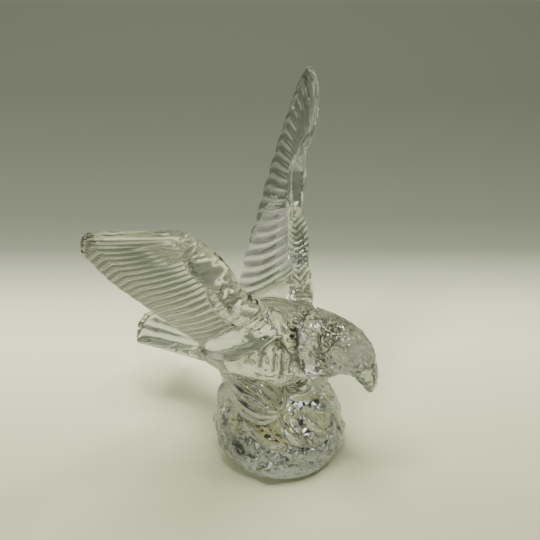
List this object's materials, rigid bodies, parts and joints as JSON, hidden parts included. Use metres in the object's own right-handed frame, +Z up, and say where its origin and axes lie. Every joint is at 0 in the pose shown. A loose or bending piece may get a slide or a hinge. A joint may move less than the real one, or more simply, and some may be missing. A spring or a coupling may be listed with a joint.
{
  "type": "eagle figurine",
  "caption": "Solid clear crystal figurine of an eagle with raised, ribbed wings leaning forward from a rough rock, a desk or shelf ornament that stands on its flat underside.",
  "frame": {"origin": "middle of the rock's flat underside, on the surface that the figurine stands on", "axes": "+X the way the eagle looks, +Y its left, +Z up"},
  "size_m": [0.1791, 0.2328, 0.216],
  "materials": {
    "clear_crystal": "clear cast lead crystal, fire-polished, with a stippled head and a rough hewn rock"
  },
  "bodies": {
    "root": {"eagle_on_rock": "clear_crystal"}
  },
  "joints": []
}
